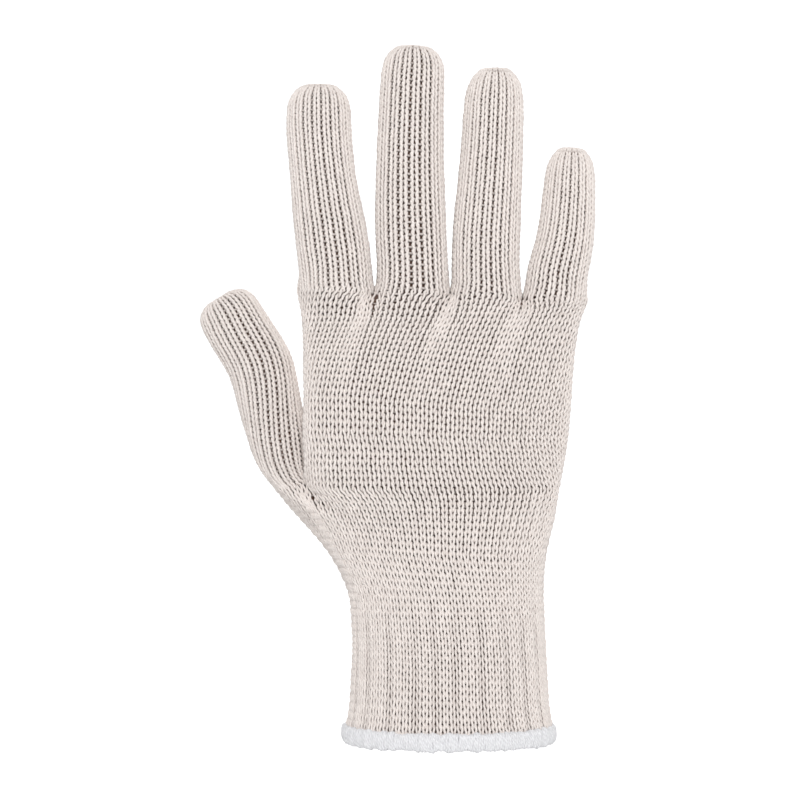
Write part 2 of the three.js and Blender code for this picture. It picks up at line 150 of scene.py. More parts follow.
# The thumb's crotch on the front and on the back, and the rest of its root from the outside inwards
THUMB_WEB = [(-51.0, -1.6, 90.4), (-46.6, 11.4, 90.8)]
THUMB_ROOT_FRONT = [(-61.5, 7.6, 88.0), (-60.0, 0.2, 88.2), (-56.0, -3.4, 89.0)]
THUMB_ROOT_BACK = [(-60.4, 16.0, 88.0), (-55.8, 21.8, 88.2), (-50.4, 21.0, 89.0)]


# The hand's smooth surface: a quad cage, subdivided. The columns of a ring go from left to right
# along its front, through one column for the side, and back along its rear to the other side.
OUTLINE_READINGS = 241  # places at which the outline of a cross-section is read
FITTING_ROUNDS = 10     # how often the cage is moved to bring the surface to its target points
LEVELS = 3              # how often the cage is divided
PATCH = 2 ** LEVELS     # quads along one side of a divided quad
CAP_NARROWING = 0.75    # share of a fingertip cap's width that a ring drawn in to its middle loses


def lengths_along(steps):
    """The length up to each point of a line, from the steps between its points."""
    return np.concatenate([[0], np.cumsum(steps)])


def half_outline(half_width, depth, power, columns):
    """Corners of half a superellipse, evenly spaced, with half a column left at either end."""
    angle = math.pi * (1 - np.arange(OUTLINE_READINGS) / (OUTLINE_READINGS - 1))
    cosine = np.cos(angle)
    sine = np.sin(angle).clip(0)
    along = np.sign(cosine) * np.abs(cosine) ** (2 / power) * half_width
    across = sine ** (2 / power) * depth
    lengths = lengths_along(np.hypot(np.diff(along), np.diff(across)))
    wanted = (np.arange(columns + 1) + 0.5) / (columns + 1) * lengths[-1]
    return np.interp(wanted, lengths, along), np.interp(wanted, lengths, across)


class Cage:
    """Target points, the quads between them, and the quads of each section row by row."""

    def __init__(self):
        self.targets = []
        self.quads = []
        self.rows = {}
        self.caps = {}

    def add(self, point):
        self.targets.append(np.array(point, float))
        return len(self.targets) - 1

    def quad(self, corners):
        self.quads.append(corners)
        return len(self.quads) - 1

    def bridge(self, lower, upper):
        """Adds the quads between two rings and returns them."""
        count = len(lower)
        return [
            self.quad([lower[i], lower[(i + 1) % count], upper[(i + 1) % count], upper[i]])
            for i in range(count)
        ]

    def band(self, band, fingers):
        """Adds the points of one band: its front and its back, each from left to right."""
        x, y, z, half_width, front, back, lean, power, back_power = band
        ring = []
        for depth, curve in ((-front, power), (back, back_power)):
            along, across = half_outline(half_width, depth, curve, fingers * COLUMNS_PER_FINGER)
            ring.append([
                self.add((x + a, y + b - lean * a / half_width, z)) for a, b in zip(along, across)
            ])
        return ring

    def tube_ring(self, section, tangent):
        """Adds the points of one cross-section of a tube, square to its line, as front and back."""
        x, y, z, half_width, half_depth, turn = section
        side = np.cross((0, 1, 0), tangent)
        side /= np.linalg.norm(side)
        depth = np.cross(tangent, side)
        angle = -math.radians(turn)
        turned_side = side * math.cos(angle) + depth * math.sin(angle)
        turned_depth = depth * math.cos(angle) - side * math.sin(angle)
        ring = []
        for sign in (-1, 1):
            along, across = half_outline(half_width, sign * half_depth, 2, COLUMNS_PER_FINGER)
            ring.append([
                self.add(np.array((x, y, z)) + turned_side * a + turned_depth * b)
                for a, b in zip(along, across)
            ])
        return ring

    def grow_tube(self, name, root):
        """Builds a finger or the thumb up from its root, and closes it with a cap."""
        sections = TUBES[name]
        centres = np.array([section[:3] for section in sections])
        lower = root[0] + root[1][::-1]
        rows = []
        for i, section in enumerate(sections):
            tangent = centres[min(i + 1, len(centres) - 1)] - centres[max(i - 1, 0)]
            front, back = self.tube_ring(section, tangent / np.linalg.norm(tangent))
            upper = front + back[::-1]
            rows.append(self.bridge(lower, upper))
            lower = upper
        self.rows[name] = rows
        self.caps[name] = [
            self.quad([front[i], front[i + 1], back[i + 1], back[i]])
            for i in range(COLUMNS_PER_FINGER)
        ]

    def root_row(self):
        """Adds the points of the row where the palm meets the four fingers, as front and back."""
        row = []
        for sign in (-1, 1):
            face = []
            for i, (x, y, z, half_depth) in enumerate(CROTCHES):
                face.append(self.add((x, y + sign * half_depth, z)))
                if i + 1 < len(CROTCHES):
                    here = np.array((x, y, z))
                    after = np.array(CROTCHES[i + 1][:3])
                    for share in (ROOT_CORNER, 1 - ROOT_CORNER):
                        inner = here + (after - here) * share
                        inner[1] += sign * ROOT_DEPTH[FINGERS[i]]
                        face.append(self.add(inner))
            row.append(face)
        return row

    def build(self):
        roots = self.root_row()
        for i, name in enumerate(FINGERS):
            first = i * COLUMNS_PER_FINGER
            last = first + COLUMNS_PER_FINGER + 1
            self.grow_tube(name, [roots[0][first:last], roots[1][first:last]])
        upper = self.stack("four_finger_palm", FOUR_FINGER_BANDS, 4, roots)
        for face, place in zip(upper, THUMB_WEB):
            self.targets[face[0]] = np.array(place)
        thumb_root = [
            [self.add(place) for place in THUMB_ROOT_FRONT] + [upper[0][0]],
            [self.add(place) for place in THUMB_ROOT_BACK] + [upper[1][0]],
        ]
        self.grow_tube("thumb", thumb_root)
        upper = [thumb_root[0][:3] + upper[0], thumb_root[1][:3] + upper[1]]
        upper = self.stack("five_finger_palm", FIVE_FINGER_BANDS, 5, upper)
        self.stack("rib_cuff", CUFF_BANDS, 5, upper)

    def stack(self, name, bands, fingers, upper):
        """Builds a section down from the ring above it. Its rows are kept from the lowest up."""
        rows = []
        for band in bands:
            lower = self.band(band, fingers)
            rows.append(self.bridge(lower[0] + lower[1][::-1], upper[0] + upper[1][::-1]))
            upper = lower
        self.rows[name] = rows[::-1]
        return upper


def edges_of(quads, count):
    """Edges of a quad mesh, the edge of each side, which edges two quads share, and which points
    lie on an open edge."""
    sides = np.stack([quads, np.roll(quads, -1, axis=1)], axis=2).reshape(-1, 2)
    edges, edge_of_side = np.unique(np.sort(sides, axis=1), axis=0, return_inverse=True)
    edge_of_side = edge_of_side.reshape(-1)
    shared = np.bincount(edge_of_side) == 2
    is_open = np.zeros(count, bool)
    is_open[edges[~shared].ravel()] = True
    return edges, edge_of_side, shared, is_open


def summed(count, index, values):
    """Adds up the values that belong to the same index."""
    total = np.zeros((count, values.shape[1]))
    np.add.at(total, index, values)
    return total


def subdivide(points, quads):
    """Divides each quad into four and smooths the points. Points on an open edge stay."""
    count = len(points)
    edges, edge_of_side, shared, is_open = edges_of(quads, count)
    middles = points[quads].mean(axis=1)
    edge_middles = points[edges].mean(axis=1)
    around_edge = summed(len(edges), edge_of_side, np.repeat(middles, 4, axis=0))
    edge_points = np.where(shared[:, None], (2 * edge_middles + around_edge) / 4, edge_middles)
    valence = np.bincount(edges.ravel(), minlength=count)[:, None]
    faces = np.bincount(quads.ravel(), minlength=count)[:, None]
    face_mean = summed(count, quads.ravel(), np.repeat(middles, 4, axis=0)) / faces
    edge_mean = summed(count, edges.ravel(), np.repeat(edge_middles, 2, axis=0)) / valence
    moved = (face_mean + 2 * edge_mean + (valence - 3) * points) / valence
    moved = np.where(is_open[:, None], points, moved)
    edge = edge_of_side.reshape(-1, 4) + count
    middle = np.arange(len(quads)) + count + len(edges)
    children = np.stack([
        np.stack([quads[:, 0], edge[:, 0], middle, edge[:, 3]], axis=1),
        np.stack([edge[:, 0], quads[:, 1], edge[:, 1], middle], axis=1),
        np.stack([middle, edge[:, 1], quads[:, 2], edge[:, 2]], axis=1),
        np.stack([edge[:, 3], middle, edge[:, 2], quads[:, 3]], axis=1),
    ], axis=1).reshape(-1, 4)
    return np.concatenate([moved, edge_points, middles]), children


def limit_points(points, quads):
    """Places of the mesh's own points on the limit surface. Points on an open edge stay."""
    count = len(points)
    edges, _, _, is_open = edges_of(quads, count)
    valence = np.bincount(edges.ravel(), minlength=count)[:, None]
    total = points * valence ** 2
    total += 4 * summed(count, edges[:, 0], points[edges[:, 1]])
    total += 4 * summed(count, edges[:, 1], points[edges[:, 0]])
    for corner in range(4):
        total += summed(count, quads[:, corner], points[quads[:, (corner + 2) % 4]])
    return np.where(is_open[:, None], points, total / (valence * (valence + 5)))


def fitted(targets, quads):
    """Cage points whose limit surface goes through the target points."""
    points = targets.copy()
    for _ in range(FITTING_ROUNDS):
        points += targets - limit_points(points, quads)
    return points


def patch_grids(quads, count):
    """Points of each divided cage quad, by row and column."""
    grids = np.zeros((count, PATCH + 1, PATCH + 1), int)
    part = np.arange(PATCH ** 2)
    column = np.zeros_like(part)
    row = np.zeros_like(part)
    for level in range(LEVELS):
        digit = part // 4 ** (LEVELS - 1 - level) % 4
        column = column * 2 + np.array([0, 1, 1, 0])[digit]
        row = row * 2 + np.array([0, 0, 1, 1])[digit]
    split = quads.reshape(count, -1, 4)
    for corner, (right, up) in enumerate(((0, 0), (1, 0), (1, 1), (0, 1))):
        grids[:, row + up, column + right] = split[:, :, corner]
    return grids


class Hand:
    """The limit surface, read by section, column and row."""

    def __init__(self):
        cage = Cage()
        cage.build()
        quads = np.array(cage.quads)
        points = fitted(np.array(cage.targets), quads)
        for _ in range(LEVELS):
            points, quads = subdivide(points, quads)
        self.points = limit_points(points, quads)
        corners = self.points[quads]
        across = np.cross(corners[:, 2] - corners[:, 0], corners[:, 3] - corners[:, 1])
        normals = summed(len(points), quads.ravel(), np.repeat(across, 4, axis=0))
        self.normals = normals / np.linalg.norm(normals, axis=1)[:, None]
        self.grids = patch_grids(quads, len(cage.quads))
        self.rows = {name: np.array(rows) for name, rows in cage.rows.items()}
        self.caps = {name: np.array(cap) for name, cap in cage.caps.items()}

    def patch(self, face, across, up):
        """Place and outward direction on a quad of the cage, at two shares of its sides."""
        column = np.floor(across * PATCH).clip(0, PATCH - 1).astype(int)
        row = np.floor(up * PATCH).clip(0, PATCH - 1).astype(int)
        right = (across * PATCH - column)[:, None]
        high = (up * PATCH - row)[:, None]
        results = []
        for values in (self.points, self.normals):
            low_side = values[self.grids[face, row, column]] * (1 - right)
            low_side += values[self.grids[face, row, column + 1]] * right
            high_side = values[self.grids[face, row + 1, column]] * (1 - right)
            high_side += values[self.grids[face, row + 1, column + 1]] * right
            results.append(low_side * (1 - high) + high_side * high)
        results[1] /= np.linalg.norm(results[1], axis=1)[:, None]
        return results

    def at(self, name, column, row):
        """Place and outward direction at a column and a row of a section."""
        faces = self.rows[name]
        level = np.floor(row).clip(0, len(faces) - 1).astype(int)
        column = column % faces.shape[1]
        whole = np.floor(column).astype(int) % faces.shape[1]
        return self.patch(faces[level, whole], column - np.floor(column), row - level)

    def on_cap(self, name, column, inset):
        """The same on a fingertip's cap, on a ring drawn in from the cap's edge by that share."""
        faces = self.caps[name]
        columns = len(faces)
        turn = (column + 0.5) % (2 * columns + 2) - 0.5
        front = turn.clip(0, columns)
        side = (turn - columns).clip(0, 1)
        back = (turn - columns - 1).clip(0, columns)
        last = (turn - 2 * columns - 1).clip(0, 1)
        first = (-turn).clip(0, 0.5)
        x = front - back
        y = side - last + first
        x = columns / 2 + (x - columns / 2) * (1 - CAP_NARROWING * inset)
        y = 0.5 + (y - 0.5) * (1 - inset)
        whole = np.floor(x).clip(0, columns - 1).astype(int)
        return self.patch(faces[whole], x - whole, y)


hand = Hand()

# Knitting: how many wales go round each section, and how high each course stands, in millimetres
WALES = {
    "index": 20, "middle": 18, "ring": 20, "little": 18, "thumb": 18,
    "four_finger_palm": 70, "five_finger_palm": 80, "rib_cuff": 80,
}
COURSE_HEIGHT = {
    "index": 1.9, "middle": 2.1, "ring": 2.15, "little": 2.1, "thumb": 1.87,
    "four_finger_palm": 2.45, "five_finger_palm": 2.55, "rib_cuff": 2.6,
}
STEPS_PER_STITCH = 10
YARN_SIDES = 5
WALE_SHIFT = 0.125    # part of a wale by which the stitches are turned, so that no gap on the front
                      # lies over a gap on the back
RING_READINGS = 481   # places at which the length of a ring is read
LEVEL_READINGS = 161  # heights at which the length of a section is read
CAP_INSETS = (0.3, 0.85)  # how far each course on a fingertip's cap is drawn in from the cap's edge
LOWEST_ROW = {"rib_cuff": 1.0}  # the cuff's first row only guides the surface over its edge

# Depth of the yarn's middle line under the smooth surface
YARN_INSET = {
    "index": 0.8, "middle": 0.8, "ring": 0.75, "little": 0.75, "thumb": 0.95,
    "four_finger_palm": 0.9, "five_finger_palm": 0.85, "rib_cuff": 0.8,
}

# How far the very tip of each finger is lifted over the smooth surface
TIP_RISE = {"index": 0.8, "middle": 0.8, "ring": 0.9, "little": 0.9}

# Grooves between the ribs: sections that have them, wales from one to the next, half a groove's
# width in wales, height where they start and height where they reach their full depth
RIBBED = ("five_finger_palm", "rib_cuff")
RIB_WALES = 3.5
GROOVE_HALF_WIDTH = 0.52
RIB_START = 60.0
RIB_FULL = 40.0

# Dark sheet of painted shade behind the knit, darkening its gaps: depth of its two sides, how finely it is
# divided, and how far its rings on a fingertip's cap are drawn in. The last ring closes it.
PAINTED_SHADE_SHEET_DEPTHS = (1.75, 2.1)
SHADE_SHEET_CAP_INSETS = (0.35, 0.7, 1.0)
SHADE_SHEET_COLUMNS = 48
SHADE_SHEET_LEVELS = 20

# Wale of the palm with which each finger's first wale is in line. Each crotch takes up one wale.
FIRST_WALE = {"index": 0, "middle": 9, "ring": 17, "little": 26}
# How far the wales have gone round the hand at some shares of a section's height, in millimetres
TWIST = {
    "four_finger_palm": ((0, 0.12, 0.25, 0.4, 0.6, 0.8, 1), (-1.8, -6.6, -9.6, -9.5, -6.0, -2.0, 0)),
    "five_finger_palm": ((0, 0.5, 0.8, 1), (-8.5, -7.0, -3.6, 0)),
    "rib_cuff": ((0, 1), (-8.5, -8.5)),
}
# How soon the wales leave the places that they have at the top of a section
TOP_PULL = {"four_finger_palm": 2.6, "five_finger_palm": 0.7}
# How far the courses halfway up a section lean, in rows: up at the thumb's side, down at the other
COURSE_LEAN = {"four_finger_palm": 0.2, "five_finger_palm": 0.15, "rib_cuff": 0.15}


def ring_lengths(name, level):
    """Columns all round a section at one level, and the length of the ring up to each."""
    columns = hand.rows[name].shape[1]
    fine = np.linspace(-0.5, columns - 0.5, RING_READINGS)
    places = hand.at(name, fine, np.full(RING_READINGS, level))[0]
    return fine, lengths_along(np.linalg.norm(np.diff(places, axis=0), axis=1))


def half_lengths(fine, lengths):
    """Lengths of a ring at its start, at its far side and at its end."""
    return np.interp((fine[0], (fine[0] + fine[-1]) / 2, fine[-1]), fine, lengths)


def wale_columns(name, level, share, wale, top=None):
    """Columns of the wales at one level, evenly spaced along the surface. The share is 0 at the
    section's lower end and 1 at its top. Where top is given, the wales take its places up there: it
    holds wales, their lengths along the top's ring, and that ring's half lengths."""
    fine, lengths = ring_lengths(name, level)
    whole = WALES[name]
    halves = half_lengths(fine, lengths)
    places = np.interp(wale, (0, whole / 2, whole), halves)
    if top is not None:
        top_wales, top_places, top_halves = top
        followed = np.interp(np.interp(wale, top_wales, top_places), top_halves, halves)
        places = places + (followed - places) * share ** TOP_PULL[name]
    if name in TWIST:
        places = (places + np.interp(share, *TWIST[name])) % lengths[-1]
    return np.interp(places, lengths, fine)


def palm_top():
    """Wales and columns at the palm's top, in line with the wales of the four fingers."""
    whole = WALES["four_finger_palm"]
    front = [[[0], [-0.5]]]
    back = [[[whole], [8 * COLUMNS_PER_FINGER + 1.5]]]
    for i, name in enumerate(FINGERS):
        wale = np.arange(WALES[name] + 1)
        column = wale_columns(name, 0.0, 0.0, wale)
        on_front = (column > 0) & (column < COLUMNS_PER_FINGER)
        first = i * COLUMNS_PER_FINGER
        front.append(np.stack([FIRST_WALE[name] + wale, column + first])[:, on_front])
        on_back = (column > COLUMNS_PER_FINGER + 1) & (column < 2 * COLUMNS_PER_FINGER + 1)
        number = whole - FIRST_WALE[name] - WALES[name] + wale
        back.append(np.stack([number, column + 6 * COLUMNS_PER_FINGER - first])[:, on_back])
    middle = [[[whole / 2], [4 * COLUMNS_PER_FINGER + 0.5]]]
    return np.concatenate(front + middle + back[:0:-1] + back[:1], axis=1)


def lower_palm_top():
    """The same at the top of the five finger palm, in line with the thumb and the palm above."""
    whole = WALES["five_finger_palm"]
    wale = np.arange(WALES["thumb"] + 1)
    column = wale_columns("thumb", 0.0, 0.0, wale)
    on_front = (column > 0) & (column < COLUMNS_PER_FINGER)
    on_back = (column > COLUMNS_PER_FINGER + 1) & (column < 2 * COLUMNS_PER_FINGER + 1)
    thumb_front = np.stack([wale, column])[:, on_front]
    thumb_back = np.stack([whole - WALES["thumb"] + wale, column + 8 * COLUMNS_PER_FINGER])[:, on_back]
    palm = np.sort(wale_columns("four_finger_palm", 0.0, 0.0, np.arange(WALES["four_finger_palm"])))
    palm = palm[(palm > 0) & (palm < 8 * COLUMNS_PER_FINGER + 1)]
    number = thumb_front[0, -1] + 2 + np.arange(len(palm))
    parts = [[[0], [-0.5]], thumb_front, np.stack([number, palm + COLUMNS_PER_FINGER]), thumb_back]
    return np.concatenate(parts + [[[whole], [10 * COLUMNS_PER_FINGER + 1.5]]], axis=1)


def raised_tip(name, points, outward):
    """Lifts the points that face along the finger, which are those of its tip."""
    if name not in TIP_RISE:
        return points
    along = outward[-1].mean(axis=0)
    along /= np.linalg.norm(along)
    return points + along * TIP_RISE[name] * (outward @ along).clip(0)[..., None] ** 2


# Sections whose wales are in line with those of other sections at their top
TOP_ROW = {"four_finger_palm": palm_top, "five_finger_palm": lower_palm_top}


def course_rings(name):
    """Middle line of every course of a section, with the outward direction at each point. The
    courses are the same height apart as measured on the front."""
    rows, columns = hand.rows[name].shape
    bottom = LOWEST_ROW.get(name, 0.0)
    top = None
    if name in TOP_ROW:
        top_wales, top_columns = TOP_ROW[name]()
        fine, lengths = ring_lengths(name, rows)
        top = top_wales, np.interp(top_columns, fine, lengths), half_lengths(fine, lengths)
    wale = np.arange(WALES[name] * STEPS_PER_STITCH) / STEPS_PER_STITCH
    lean = COURSE_LEAN.get(name, 0.0)

    def ring_at(level):
        share = (level - bottom) / (rows - bottom)
        column = wale_columns(name, level, share, wale, top)
        leaning = lean * math.sin(math.pi * share) ** 2 * np.cos(2 * math.pi * (column + 0.5) / columns)
        return hand.at(name, column, level + leaning)

    heights = np.linspace(bottom, rows, LEVEL_READINGS)
    ways = np.array([ring_at(height)[0] for height in heights])
    on_front = slice(len(wale) // 6, len(wale) // 2)
    lengths = lengths_along(np.linalg.norm(np.diff(ways, axis=0), axis=2)[:, on_front].mean(axis=1))
    courses = round(lengths[-1] / COURSE_HEIGHT[name])
    wanted = (np.arange(courses) + 0.5) / courses * lengths[-1]
    rings = [ring_at(level) for level in np.interp(wanted, lengths, heights)]
    if name in hand.caps:
        column = wale_columns(name, rows, 1.0, wale)
        rings += [hand.on_cap(name, column, inset) for inset in CAP_INSETS]
    points = np.array([ring[0] for ring in rings])
    outward = np.array([ring[1] for ring in rings])
    points = raised_tip(name, points, outward)
    return points - outward * YARN_INSET[name], outward


def groove_at(name, points):
    """How deep the groove between two ribs is at each point, from 0 to 1."""
    if name not in RIBBED:
        return np.zeros(points.shape[:2])
    wales = WALES[name]
    wale = np.arange(points.shape[1]) / STEPS_PER_STITCH
    grooves = np.round(np.arange(0, wales, RIB_WALES)) + 0.5 - WALE_SHIFT
    away = np.abs((wale[:, None] - grooves + wales / 2) % wales - wales / 2).min(axis=1)
    grown = ((RIB_START - points[..., 2]) / (RIB_START - RIB_FULL)).clip(0, 1)
    return (1 - away / GROOVE_HALF_WIDTH).clip(0, 1) * grown


def give_points(mesh, label, values):
    """Stores a number or a vector at each point of a mesh."""
    is_vector = values.size == 3 * len(mesh.vertices)
    layer = mesh.attributes.new(label, "FLOAT_VECTOR" if is_vector else "FLOAT", "POINT")
    key = "vector" if is_vector else "value"
    layer.data.foreach_set(key, values.reshape(-1).astype(np.float32))


def course_mesh(title, points, outward, groove):
    """A mesh of one closed line for each course. Each point knows its place in the stitch, and the
    steps from there to the next wale and to the next course."""
    courses, steps, _ = points.shape
    half = STEPS_PER_STITCH // 2
    wale_step = np.roll(points, -half, axis=1) - np.roll(points, half, axis=1)
    course_step = np.gradient(points, axis=0)
    turn = np.tile((np.arange(steps) / STEPS_PER_STITCH + WALE_SHIFT) * 2 * math.pi, courses)
    mesh = bpy.data.meshes.new(title)
    index = np.arange(courses * steps).reshape(courses, steps)
    edges = np.stack([index, np.roll(index, -1, axis=1)], axis=2).reshape(-1, 2)
    mesh.from_pydata((points.reshape(-1, 3) * MM).tolist(), edges.tolist(), [])
    give_points(mesh, "wale_step", wale_step * MM)
    give_points(mesh, "course_step", course_step * MM)
    give_points(mesh, "outward", outward)
    give_points(mesh, "turn", turn)
    give_points(mesh, "groove", groove)
    return mesh


def painted_shade_sheet_mesh(name):
    """A thin dark sheet behind the stitches, put there as painted shade in the gaps of the knit. Its outer
    side counts as deep, so that it takes the painted shade colour and the gaps are dark, and its inner
    side as level with the yarn's line, so that the inside of the glove is light."""
    rows, columns = hand.rows[name].shape
    around = np.linspace(-0.5, columns - 0.5, SHADE_SHEET_COLUMNS, endpoint=False)
    levels = np.linspace(LOWEST_ROW.get(name, 0.0), rows, SHADE_SHEET_LEVELS)
    rings = [hand.at(name, around, np.full(SHADE_SHEET_COLUMNS, level)) for level in levels]
    if name in hand.caps:
        rings += [hand.on_cap(name, around, inset) for inset in SHADE_SHEET_CAP_INSETS]
    outward = np.array([ring[1] for ring in rings])
    points = raised_tip(name, np.array([ring[0] for ring in rings]), outward)
    sides = np.stack([points - outward * depth for depth in PAINTED_SHADE_SHEET_DEPTHS])
    index = np.arange(sides[..., 0].size).reshape(sides.shape[:3])
    after = np.roll(index, -1, axis=2)
    outer, inner = index
    quads = [
        np.stack([outer[:-1], after[0, :-1], after[0, 1:], outer[1:]], axis=2),
        np.stack([inner[1:], after[1, 1:], after[1, :-1], inner[:-1]], axis=2),
        np.stack([inner[:1], after[1, :1], after[0, :1], outer[:1]], axis=2),
    ]
    if name not in hand.caps:
        quads.append(np.stack([outer[-1:], after[0, -1:], after[1, -1:], inner[-1:]], axis=2))
    faces = np.concatenate([quad.reshape(-1, 4) for quad in quads])
    mesh = bpy.data.meshes.new(name + "_painted_shade_sheet")
    mesh.from_pydata((sides.reshape(-1, 3) * MM).tolist(), [], faces.tolist())
    give_points(mesh, "proud", np.repeat([-PAINTED_SHADE_SHEET_DEPTHS[1], 0.0], points[..., 0].size))
    return mesh


# Node trees. The first four values are noise scales: how many waves there are to a metre.
YARN_NOISE = 420.0    # in the thickness of the yarn
LOOP_NOISE = 260.0    # in the places of the loops
HEM_NOISE = 420.0     # in the size of the hem's band
THREAD_NOISE = 600.0  # in the places of the hem's thread
HEM_FACE_POWER = 0.5  # below 1, which makes the two faces of the band flatter
HEM_SIDES = 6         # sides of the hem's thread
# What only the trees need to know of a point
TREE_ONLY = ("wale_step", "course_step", "outward", "upward", "turn", "rest", "groove")


class TreeMaker:
    """Short ways to add and join nodes in a tree."""

    def __init__(self, tree):
        self.tree = tree

    def feed(self, socket, value):
        if isinstance(value, bpy.types.NodeSocket):
            self.tree.links.new(value, socket)
        else:
            socket.default_value = value

    def node(self, kind, values=None, **settings):
        """Adds a node with these settings, and these values at the inputs of these names or numbers."""
        node = self.tree.nodes.new(kind)
        for key, value in settings.items():
            setattr(node, key, value)
        for key, value in (values or {}).items():
            self.feed(node.inputs[key], value)
        return node

    def math(self, operation, *values):
        return self.node("ShaderNodeMath", dict(enumerate(values)), operation=operation).outputs[0]

    def vector(self, operation, *values):
        node = self.node("ShaderNodeVectorMath", dict(enumerate(values)), operation=operation)
        return node.outputs["Value" if operation in ("DOT_PRODUCT", "LENGTH") else "Vector"]

    def scaled(self, direction, amount):
        values = {0: direction, "Scale": amount}
        return self.node("ShaderNodeVectorMath", values, operation="SCALE").outputs[0]

    def shifted(self, start, direction, amount):
        """The vector start with that amount of the direction added."""
        return self.vector("ADD", start, self.scaled(direction, amount))

    def noise(self, place, scale, detail=2.0):
        values = {"Vector": place, "Scale": scale, "Detail": detail}
        return self.node("ShaderNodeTexNoise", values, noise_dimensions="3D").outputs

    def position(self):
        return self.node("GeometryNodeInputPosition").outputs[0]

    def attribute(self, label, kind="FLOAT_VECTOR"):
        node = self.node("GeometryNodeInputNamedAttribute", {"Name": label}, data_type=kind)
        return node.outputs["Attribute"]

    def stored(self, geometry, label, value, kind="FLOAT_VECTOR"):
        """The geometry with the value stored at its points."""
        values = {"Geometry": geometry, "Name": label, "Value": value}
        node = self.node("GeometryNodeStoreNamedAttribute", values, data_type=kind, domain="POINT")
        return node.outputs[0]

    def captured(self, geometry, value, kind):
        """The geometry, and the value as it is at this step."""
        node = self.node("GeometryNodeCaptureAttribute")
        node.capture_items.new(kind, "Kept")
        self.feed(node.inputs[0], geometry)
        self.feed(node.inputs[1], value)
        return node.outputs[0], node.outputs[1]

    def moved(self, geometry, offset):
        """The geometry moved by the offset, with each point's first place stored as rest."""
        values = {"Geometry": self.stored(geometry, "rest", self.position()), "Offset": offset}
        return self.node("GeometryNodeSetPosition", values).outputs[0]

    def finished(self, geometry, material):
        """The last steps of every tree: smooth shading, real meshes and their material."""
        smooth = self.node("GeometryNodeSetShadeSmooth", {0: geometry})
        real = self.node("GeometryNodeRealizeInstances", {0: smooth.outputs[0]})
        values = {"Geometry": real.outputs[0], "Material": material}
        finish = self.node("GeometryNodeSetMaterial", values)
        self.node("NodeGroupOutput", {0: finish.outputs[0]})


def new_tree(title, sizes):
    """A tree with a geometry in and out, a named input for each size, and one for the yarn. Returns
    it with its maker and the outputs of its input node."""
    tree = bpy.data.node_groups.new(title, "GeometryNodeTree")
    tree.interface.new_socket("Geometry", in_out="INPUT", socket_type="NodeSocketGeometry")
    for name, value in sizes.items():
        socket = tree.interface.new_socket(name, in_out="INPUT", socket_type="NodeSocketFloat")
        socket.default_value = value
    tree.interface.new_socket("Yarn", in_out="INPUT", socket_type="NodeSocketMaterial")
    tree.interface.new_socket("Geometry", in_out="OUTPUT", socket_type="NodeSocketGeometry")
    make = TreeMaker(tree)
    return tree, make, make.node("NodeGroupInput").outputs


def yarn_along(make, geometry, given, fullness, sides):
    """Turns lines into yarn: a tube along each. Each point of it knows its way round the yarn and
    its length along it (yarn_way), and how many millimetres it stands out from the line's first
    place (proud)."""
    wobble = make.math("MULTIPLY_ADD", make.noise(make.position(), YARN_NOISE)[0], 2.0, -1.0)
    uneven = make.math("MULTIPLY_ADD", wobble, given["Yarn Unevenness"], 1.0)
    radius = make.math("MULTIPLY", uneven, fullness)
    line = make.node("GeometryNodeMeshToCurve", {"Mesh": geometry}).outputs[0]
    line = make.node("GeometryNodeSetCurveRadius", {"Curve": line, "Radius": radius}).outputs[0]
    way = make.node("GeometryNodeSplineParameter").outputs["Length"]
    line, length = make.captured(line, way, "FLOAT")
    sizes = {"Radius": given["Yarn Radius"], "Resolution": sides}
    circle = make.node("GeometryNodeCurvePrimitiveCircle", sizes, mode="RADIUS").outputs[0]
    circle, turned = make.captured(circle, make.vector("NORMALIZE", make.position()), "VECTOR")
    tube = make.node("GeometryNodeCurveToMesh", {"Curve": line, "Profile Curve": circle}).outputs[0]
    across = make.node("ShaderNodeSeparateXYZ", {0: turned}).outputs
    yarn_way = make.node("ShaderNodeCombineXYZ", {0: across[0], 1: across[1], 2: length}).outputs[0]
    tube = make.stored(tube, "yarn_way", yarn_way)
    away = make.vector("SUBTRACT", make.position(), make.attribute("rest"))
    height = make.vector("DOT_PRODUCT", away, make.attribute("outward"))
    return make.stored(tube, "proud", make.math("DIVIDE", height, MM), "FLOAT")


def knitting_tree(sizes):
    """Bends each course line into a row of knitted loops and makes it yarn."""
    tree, make, given = new_tree("knitted_loops", sizes)
    turn = make.attribute("turn", "FLOAT")
    double = make.math("MULTIPLY", turn, 2.0)
    swing = make.math("MULTIPLY", make.math("SINE", double), given["Loop Swing"])
    spread = make.math("MULTIPLY", make.math("SINE", turn), given["Leg Spread"])
    along = make.math("ADD", swing, spread)
    up = make.math("MULTIPLY", make.math("COSINE", turn), given["Loop Height"])
    inward = make.math("MULTIPLY", make.math("COSINE", double), given["Loop Depth"])
    groove = make.math("MULTIPLY", make.attribute("groove", "FLOAT"), given["Groove Depth"])
    out = make.math("MULTIPLY", make.math("ADD", inward, groove), -1.0)
    wale_step = make.attribute("wale_step")
    course_step = make.attribute("course_step")
    offset = make.scaled(wale_step, along)
    offset = make.shifted(offset, course_step, up)
    offset = make.shifted(offset, make.attribute("outward"), out)
    noise = make.noise(make.position(), LOOP_NOISE)["Color"]
    centred = make.vector("SUBTRACT", noise, (0.5, 0.5, 0.5))
    loops = make.moved(given["Geometry"], make.shifted(offset, centred, given["Unevenness"]))
    upright = make.vector("NORMALIZE", course_step)
    width = make.vector("LENGTH", make.vector("CROSS_PRODUCT", wale_step, upright))
    fullness = make.math("DIVIDE", width, given["Full Wale"])
    make.finished(yarn_along(make, loops, given, fullness, YARN_SIDES), given["Yarn"])
    return tree


